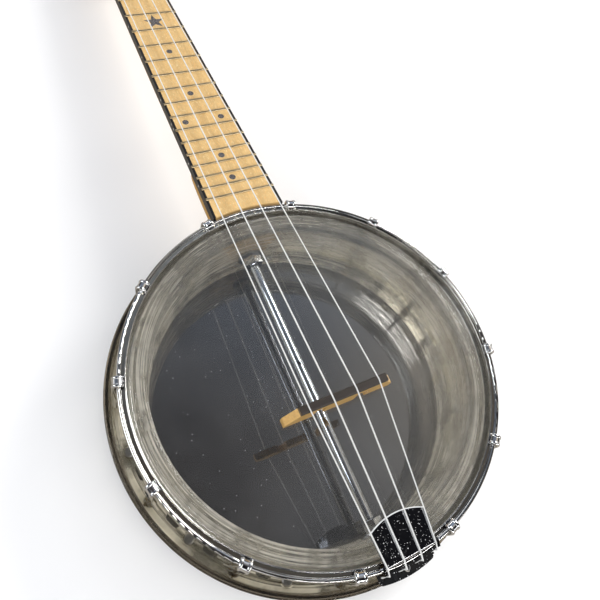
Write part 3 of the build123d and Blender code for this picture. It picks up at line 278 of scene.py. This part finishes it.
# ------------------------------------------------------------------ clear plastic
def clear(name, tint, wave, body, body_color, rings, painted_glint, rough=0.02):
    """Clear plastic with scratches, moulding waves and rings, a little milky body, and painted
    glints as cream streaks and thin ring lines.
    """
    mat = Material(name)
    place = mat.place()
    big = mat.noise(place, scale=0.035, detail=3, rough=0.5)
    scratch = mat.scratches((0.15, 5, 5), turn=(0.1, 0.3, 0.9), scale=1.2, rough=0.75)
    crossing = mat.scratches((5, 0.15, 5), turn=(0.1, 0.3, 0.4), rough=0.75)
    roughness = mat.plus(mat.remap(big, (0.4, 0.7), (rough, rough + 0.03)),
                         mat.plus(mat.remap(scratch, (0.62, 0.8), (0, 0.08)),
                                  mat.remap(crossing, (0.62, 0.8), (0, 0.08))))
    normal = mat.bump(big, strength=wave * 4, distance=0.002)
    normal = mat.bump(mat.plus(scratch, crossing), 0.02, distance=0.0001, normal=normal)
    normal = mat.bump(mat.rings(place), strength=rings, distance=0.0012, normal=normal)
    glass = mat.principled(tint, roughness, IOR=ACRYLIC_IOR, Transmission_Weight=1.0,
                           Normal=normal, Specular_IOR_Level=0.6)

    cloud = mat.noise(place, scale=0.12, detail=4, rough=0.6)
    color = mat.mix(mat.remap(cloud, (0.3, 0.7)), body_color, scaled(body_color, 0.7))
    milk_and_glint_shader = mat.blend(0.45, mat.simple("Diffuse", color), mat.simple("Translucent", color))

    # how milky: clouds and dust of the plastic's own milky body, plus broad cream streaks and
    # broken thin lines that are painted glints, more on the -X -Y side
    dust = mat.specks(place, scale=0.35, size=0.03)
    glint_streak = mat.remap(mat.rings(place, scale=0.75, along=2.5, detail=2), (0.56, 0.68))
    x, y, z = mat.split(place)
    side = mat.remap(mat.plus(mat.times(x, -0.8), mat.times(y, -0.45)), (-70.0, 75.0),
                     (0.6, 1.25))
    glint_lines = mat.ring_lines(mat.rings(place, scale=0.30, along=0.9, detail=2), (0.024, 0.062))
    faint_glint_lines = mat.ring_lines(mat.rings(place, scale=0.55, along=1.7, detail=1), (0.024, 0.066),
                           level=0.55)
    glint_lines = mat.math("MAXIMUM", glint_lines, mat.times(faint_glint_lines, 0.7))
    breaks = mat.remap(mat.noise(place, scale=0.045, detail=3, rough=0.6), (0.40, 0.54),
                       (0.1, 1.0))
    amount = mat.plus(mat.remap(cloud, (0.3, 0.7), (body * 0.6, body * 1.2)),
                      mat.times(dust, 0.3))
    amount = mat.plus(amount, mat.times(glint_streak, painted_glint))
    amount = mat.plus(amount, mat.times(mat.times(glint_lines, breaks), 0.62))
    amount = mat.times(amount, side, clamp=True)
    solid = mat.blend(amount, glass, milk_and_glint_shader)
    shadow = mat.simple("Transparent", scaled(tint, 0.75))
    return mat.finish(mat.blend(mat.node("LightPath", {})["Is Shadow Ray"], solid, shadow))


def film(name):
    """Thin clear head: mostly seen through, glossy, with dust and a soft haze."""
    mat = Material(name)
    place = mat.place()
    haze = mat.noise(place, scale=0.03, detail=4, rough=0.55)
    speck = mat.specks(place, scale=0.22, size=0.05)
    tiny = mat.specks(place, scale=0.9, size=0.028)
    normal = mat.bump(mat.noise(place, scale=0.02, detail=2), strength=0.03, distance=0.003)
    fresnel = mat.node("Fresnel", {"IOR": 1.5, "Normal": normal})[0]
    thin = mat.blend(mat.math("MINIMUM", mat.times(fresnel, 0.9), 0.3),
                     mat.simple("Transparent", (0.965, 0.97, 0.975)),
                     mat.node("BsdfGlossy", {"Roughness": 0.02, "Normal": normal})[0])
    amount = mat.plus(mat.remap(haze, (0.35, 0.75), (0.004, 0.022)),
                      mat.times(mat.plus(speck, tiny), 0.3))
    return mat.finish(mat.blend(amount, thin, mat.simple("Diffuse", (0.75, 0.76, 0.78))))


def smoke(name):
    """Resonator: clear walls with painted glints, and a back plate painted dark for the shade
    inside the pot, which mirrors what is above it.
    """
    mat = Material(name)
    place = mat.place()
    x, y, z = mat.split(place)
    inside = mat.times(mat.math("LESS_THAN", z, BACK_PLATE_TOP),
                       mat.math("LESS_THAN", mat.radius(x, y), BACK_PLATE_RADIUS))
    scratch = mat.scratches((0.12, 4, 4), turn=(0, 0, 0.7), scale=1.2, rough=0.75)
    crossing = mat.scratches((4, 0.12, 4), turn=(0, 0, 0.25), rough=0.75)
    normal = mat.bump(mat.plus(scratch, crossing), strength=0.01, distance=0.0001)
    roughness = mat.plus(mat.remap(scratch, (0.64, 0.8), (0.012, 0.06)),
                         mat.remap(crossing, (0.64, 0.8), (0.0, 0.05)))

    # walls: clear, with cream streaks and thin ring lines as painted glints over a faint milky
    # cloud
    ringed = mat.bump(mat.rings(place, along=3.0), 0.35, distance=0.0012, normal=normal)
    glass = mat.principled((0.50, 0.46, 0.38), roughness, IOR=ACRYLIC_IOR,
                           Transmission_Weight=1.0, Specular_IOR_Level=0.5, Normal=ringed)
    glint_streak = mat.remap(mat.rings(place, scale=0.6, along=2.0, detail=2), (0.57, 0.68),
                       (0.0, 0.08))
    glint_lines = mat.ring_lines(mat.rings(place, scale=0.34, along=0.8, detail=1), (0.016, 0.045),
                           peak=0.15)
    cloud = mat.noise(place, scale=0.08, detail=4, rough=0.6)
    milk_and_glint = mat.plus(mat.remap(cloud, (0.3, 0.7), (0.0, 0.03)), mat.plus(glint_streak, glint_lines))
    wall = mat.blend(milk_and_glint, glass, mat.simple("Diffuse", (0.86, 0.73, 0.56)))

    # back plate: near-black colour as painted shade, with dust specks
    big = mat.noise(place, scale=0.012, detail=2)
    body = mat.mix(mat.remap(big, (0.4, 0.6)), (0.022, 0.023, 0.026), (0.034, 0.033, 0.033))
    dust = mat.specks(place, scale=0.28, size=0.035)
    body = mat.mix(mat.times(dust, 0.6), body, (0.35, 0.34, 0.32))
    dark = mat.principled(body, rough=0.3, IOR=ACRYLIC_IOR, Specular_IOR_Level=0.3,
                          Normal=normal)
    mirror = mat.simple("Glossy", (0.98, 0.97, 0.97), Roughness=roughness, Normal=normal)
    fresnel = mat.node("Fresnel", {"IOR": 2.7})[0]
    back = mat.blend(mat.plus(mat.times(fresnel, 0.9), 0.04, clamp=True), dark, mirror)

    both = mat.blend(mat.times(inside, 0.985), wall, back)
    # only the walls let light through to the shadow
    through = mat.times(mat.node("LightPath", {})["Is Shadow Ray"],
                        mat.math("SUBTRACT", 1.0, inside))
    shadow = mat.simple("Transparent", (0.55, 0.54, 0.50))
    return mat.finish(mat.blend(through, both, shadow))


# ------------------------------------------------------------------ wood, plastic, strings
def wood(name, light, dark, along="Y", fleck=0.5, scale=1.0, gloss=0.32, coat=0.25, warm=0.0):
    """Wood with its grain along X or Y; warm is the strength of orange and yellow flecks."""
    mat = Material(name)
    grain_y = along == "Y"
    long = (1, 0.06, 1) if grain_y else (0.06, 1, 1)
    grain = mat.noise(mat.place(long), 0.55 * scale, detail=6, rough=0.6, warp=0.35)
    fine = mat.noise(mat.place((long[0] * 3, long[1] * 3, 3)), 0.9 * scale, rough=0.6)
    bands = mat.noise(mat.place((long[0], long[1] * 0.6, long[2])), 0.13 * scale,
                      detail=2, warp=0.6)
    pores = mat.cells(mat.place((2.0, 0.7 if grain_y else 2.0, 2.0)), 0.8 * scale)
    pores = mat.remap(pores, (0.10, 0.2), (1.0, 0.0))
    mottle = mat.noise(mat.place((1, 0.8, 1)), scale=0.5, rough=0.65)
    color = mat.mix(mat.remap(grain, (0.3, 0.7)), light, dark)
    middle = tuple((a + b) / 2 * 0.93 for a, b in zip(light, dark))
    color = mat.mix(mat.remap(bands, (0.35, 0.65), (0.0, 0.5)), color, middle)
    color = mat.mix(mat.times(mat.remap(fine, (0.55, 0.75)), 0.35), color, scaled(dark, 0.72))
    if warm:
        short = (1.0, 0.42, 1.0) if grain_y else (0.42, 1.0, 1.0)
        flecks = mat.noise(mat.place(short), 1.15 * scale, detail=3, rough=0.7, warp=0.5)
        color = mat.mix(mat.times(mat.remap(flecks, (0.54, 0.66)), warm), color, DARK_FLECK)
        flecks = mat.noise(mat.place(short, shift=(17, 5, 3)), scale, detail=3, rough=0.7,
                           warp=0.4)
        color = mat.mix(mat.times(mat.remap(flecks, (0.56, 0.68)), warm * 0.9), color,
                        LIGHT_FLECK)
    color = mat.mix(mat.times(pores, fleck * 0.45), color, scaled(dark, 0.6))
    color = mat.mix(mat.times(mat.remap(mottle, (0.45, 0.75)), fleck * 0.5), color,
                    scaled(light, 1.25))
    normal = mat.bump(mat.plus(fine, pores), strength=0.06, distance=0.00015)
    roughness = mat.remap(fine, (0.3, 0.7), (gloss, gloss + 0.14))
    return mat.finish(mat.principled(color, roughness, Normal=normal, Coat_Weight=coat,
                                     Coat_Roughness=0.12))


def plastic(name, color, rough, vary=0.12, coat=0.3, glow=0.0):
    """Scratched opaque plastic; vary darkens patches, glow is the subsurface weight."""
    mat = Material(name)
    place = mat.place()
    patches = mat.noise(place, scale=0.16, rough=0.6)
    fine = mat.noise(place, scale=3.0, detail=3, rough=0.6)
    scratch = mat.scratches(stretch=(0.3, 6, 6), turn=(0.1, 0.2, 0.5))
    shade = mat.mix(mat.remap(patches, (0.3, 0.7)), color, scaled(color, 1 - vary))
    shade = mat.mix(mat.remap(scratch, (0.62, 0.8), (0, 0.25)), shade,
                    scaled(color, 1.3, lift=0.03))
    normal = mat.bump(mat.plus(fine, scratch), strength=0.03, distance=0.0001)
    roughness = mat.plus(mat.remap(patches, (0.3, 0.7), (rough, rough + 0.12)),
                         mat.remap(scratch, (0.6, 0.8), (0, 0.1)))
    extra = {"Subsurface_Weight": glow, "Subsurface_Scale": 0.002} if glow else {}
    return mat.finish(mat.principled(shade, roughness, Normal=normal, Coat_Weight=coat,
                                     Coat_Roughness=0.08, **extra))


def inlay(name):
    mat = Material(name)
    swirl = mat.noise(mat.place(), scale=1.1, rough=0.6, warp=0.8)
    color = mat.ramp(swirl, [(0.3, (0.045, 0.04, 0.04)), (0.52, (0.11, 0.10, 0.10)),
                             (0.7, (0.20, 0.19, 0.18))])
    return mat.finish(mat.principled(
        color, mat.remap(swirl, (0.3, 0.7), (0.2, 0.35)), Coat_Weight=0.4, Coat_Roughness=0.1,
        Normal=mat.bump(swirl, strength=0.03, distance=0.0001)))


def string_plastic(name):
    mat = Material(name)
    patches = mat.noise(mat.place((1, 0.3, 1)), scale=0.8, detail=3, rough=0.6)
    color = mat.mix(patches, (0.93, 0.93, 0.91), (0.80, 0.81, 0.80))
    fine = mat.noise(mat.place(), scale=4.0, detail=2)
    skin = mat.principled(color, rough=0.25, Coat_Weight=0.4, Coat_Roughness=0.1,
                          Normal=mat.bump(fine, strength=0.05, distance=0.00005))
    return mat.finish(mat.blend(0.4, skin, mat.simple("Translucent", color)))


# ------------------------------------------------------------------ materials on the pieces
def dress(material, *patterns):
    """Give the material to every piece whose name matches a pattern."""
    for name, piece in nodes.items():
        if any(fnmatchcase(name, pattern) for pattern in patterns):
            piece.data.materials.clear()
            piece.data.materials.append(material)


dress(chrome("chrome_plate"), "tailpiece_pin")
dress(chrome("chrome_hardware", rough=0.045, grime=0.7),
      "tension_hooks", "rod_nuts", "tailpiece_screw", "tuner_bushings", "tuner_plates",
      "tuner_post*", "worm_shaft*")
dress(hoop_chrome("chrome_hoop"), "tension_hoop")
dress(dusty_chrome("chrome_cover", bright=0.7, dust=0.7, painted_edge_highlight=True), "tailpiece_plate")
# painted reflection: the bracket's chrome is toned near black (0.10) to show the dark room it
# mirrors
dress(dusty_chrome("chrome_bracket", bright=0.10, dust=0.9), "tailpiece_bracket")
dress(chrome("chrome_rod", tint=(0.74, 0.78, 0.84), grime=0.25), "coordinator_rod")
dress(clear("clear_rim", tint=(0.95, 0.945, 0.90), wave=0.02, body=0.045,
            body_color=(1.0, 0.94, 0.82), rings=0.6, painted_glint=0.10), "rim")
dress(clear("clear_flange", tint=(0.84, 0.83, 0.76), wave=0.05, body=0.035,
            body_color=(0.98, 0.93, 0.82), rings=0.5, painted_glint=0.12), "flange")
dress(film("clear_film"), "head_film")
dress(smoke("clear_resonator"), "resonator")
dress(wood("maple_fretboard", (0.73, 0.50, 0.218), (0.565, 0.35, 0.125), fleck=0.6,
           gloss=0.42, coat=0.05, warm=0.55), "fretboard")
dress(wood("maple_neck", (0.66, 0.45, 0.19), (0.50, 0.31, 0.11), fleck=0.35, coat=0.3,
           warm=0.15), "neck")
dress(wood("maple_bridge", (0.78, 0.50, 0.17), (0.50, 0.28, 0.08), along="X", fleck=0.3,
           scale=1.6, warm=0.2), "bridge_body")
dress(wood("ebony_cap", (0.045, 0.034, 0.027), (0.018, 0.013, 0.011), along="X", fleck=0.2,
           scale=2.0, gloss=0.3), "bridge_cap")
dress(wood("ebony_veneer", (0.050, 0.038, 0.030), (0.020, 0.016, 0.013), fleck=0.2,
           gloss=0.25, coat=0.5), "headstock_veneer")
dress(plastic("black_binding", (0.006, 0.006, 0.007), rough=0.3, coat=0.1),
      "fretboard_binding")
dress(plastic("white_dot", (0.82, 0.80, 0.74), rough=0.3), "side_dots")
dress(plastic("button_cream", (0.80, 0.77, 0.68), rough=0.2, coat=0.6, glow=0.2),
      "tuner_button*")
dress(plastic("bone_nut", (0.78, 0.74, 0.62), rough=0.32, vary=0.18, glow=0.15), "nut")
dress(inlay("grey_inlay"), "fret_markers")
dress(metal("fret_wire", (0.74, 0.60, 0.38), rough=0.28, dark=0.75), "frets")
dress(metal("plain_steel", (0.55, 0.55, 0.56), rough=0.24),
      "resonator_screws", "rod_washers", "neck_bolt", "tail_bolt", "tuner_screws",
      "gear_screw*")
dress(metal("collar_alloy", (0.80, 0.79, 0.74), rough=0.28), "head_collar")
dress(metal("brass_nut", (0.80, 0.58, 0.26), rough=0.18),
      "hook_washers", "hook_nuts", "tuner_gear*")
dress(string_plastic("string_clear"), "string_*")


# ------------------------------------------------------------------ floor, world and lights
def floor_material(name):
    """Pale floor, toned down in reflections so bright plate keeps its dark bands."""
    mat = Material(name)
    patches = mat.noise(mat.place(), scale=0.004, detail=3)
    color = mat.mix(patches, (0.88, 0.88, 0.885), (0.91, 0.91, 0.91))
    pale = mat.principled(color, rough=0.7, Specular_IOR_Level=0.1)
    rays = mat.node("LightPath", {})
    seen = mat.math("MAXIMUM", rays["Is Camera Ray"], rays["Is Diffuse Ray"])
    return mat.finish(mat.blend(seen, mat.simple("Diffuse", (0.36, 0.33, 0.285)), pale))


def build_floor():
    material = floor_material("floor_pale")
    bpy.ops.mesh.primitive_plane_add(size=FLOOR_SIZE, location=(0, 0, cad_lo[2] - FLOOR_GAP))
    floor = bpy.context.object
    floor.name = "floor"
    floor.data.materials.append(material)


def build_world():
    """One sky for reflections, and plain ones for soft light and for the camera."""
    world = bpy.data.worlds.new("studio")
    scene.world = world
    world.use_nodes = True
    sky = Nodes(world.node_tree)
    x, y, z = sky.split(sky.node("TexCoord", {})["Generated"])
    # overhead: dark above -X, lighter to +X, bluer to +Y, black towards the tail
    over = sky.ramp(x, [
        (0.0, (0.055, 0.05, 0.05)), (0.15, (0.11, 0.105, 0.105)), (0.32, (0.27, 0.272, 0.28)),
        (0.48, (0.52, 0.49, 0.45)), (0.62, (0.85, 0.72, 0.58))])
    cool = sky.remap(y, (0.15, 0.5))
    over = sky.mix(cool, over, (0.55, 0.68, 0.90), "MULTIPLY")
    over = sky.mix(cool, over, (0.12, 0.14, 0.17), "ADD")
    over = sky.mix(sky.remap(y, (-0.12, -0.24)), over, (0.012, 0.012, 0.014))
    # above the horizon: five windows with dark gaps
    wave = sky.math("SINE", sky.math("MULTIPLY_ADD", sky.math("ARCTAN2", y, x), 5.0, 0.7))
    windows = sky.remap(wave, (-0.1, 0.25))
    band = sky.ramp(z, [(0.0, 0.05), (0.16, 0.04), (0.22, 1.9), (0.36, 2.1), (0.42, 0.05),
                        (0.52, 0.06)])
    low = sky.mix(windows, (0.05, 0.05, 0.055), band)
    look = sky.mix(sky.remap(z, (0.46, 0.62)), low, over)

    def background(color, strength):
        return sky.node("Background", {"Color": color, "Strength": strength})[0]

    rays = sky.node("LightPath", {})
    light = sky.blend(rays["Is Diffuse Ray"], background(look, strength=1.0),
                      background((0.95, 0.96, 1.0), strength=0.8))
    shown = sky.blend(rays["Is Camera Ray"], light,
                      background((0.93, 0.93, 0.935), strength=0.9))
    sky.node("OutputWorld", {"Surface": shown})


def area(name, place, target, size, power, color, size_y=None):
    """Area light aimed at the target; size_y makes it a rectangle."""
    data = bpy.data.lights.new(name, "AREA")
    data.energy = power
    data.size = size
    if size_y:
        data.shape = "RECTANGLE"
        data.size_y = size_y
    data.color = color
    light = bpy.data.objects.new(name, data)
    bpy.context.collection.objects.link(light)
    light.location = place
    aim = Vector(target) - Vector(place)
    light.rotation_euler = aim.to_track_quat("-Z", "Y").to_euler()


def build_camera():
    data = bpy.data.cameras.new("camera")
    camera = bpy.data.objects.new("camera", data)
    bpy.context.collection.objects.link(camera)
    camera.matrix_world = Matrix.Translation(CAMERA_PLACE) @ Matrix(CAMERA_TURN).to_4x4()
    data.sensor_width = CAMERA_SENSOR
    data.lens = CAMERA_LENS
    data.clip_start = 0.005
    scene.camera = camera


build_floor()
build_world()
area("key", (1.25, 0.45, 0.85), target=(0, 0.05, 0.03), size=0.55, power=15,
     color=(1.0, 0.985, 0.955))
area("fill", (-1.2, 0.3, 0.9), target=(0, 0.05, 0.03), size=0.7, power=6,
     color=(0.94, 0.97, 1.0))
area("strip", (0.15, -1.1, 0.55), target=(0, 0, 0.03), size=1.2, power=5,
     color=(1.0, 0.98, 0.95), size_y=0.12)
build_camera()
scene.view_settings.view_transform = "Standard"
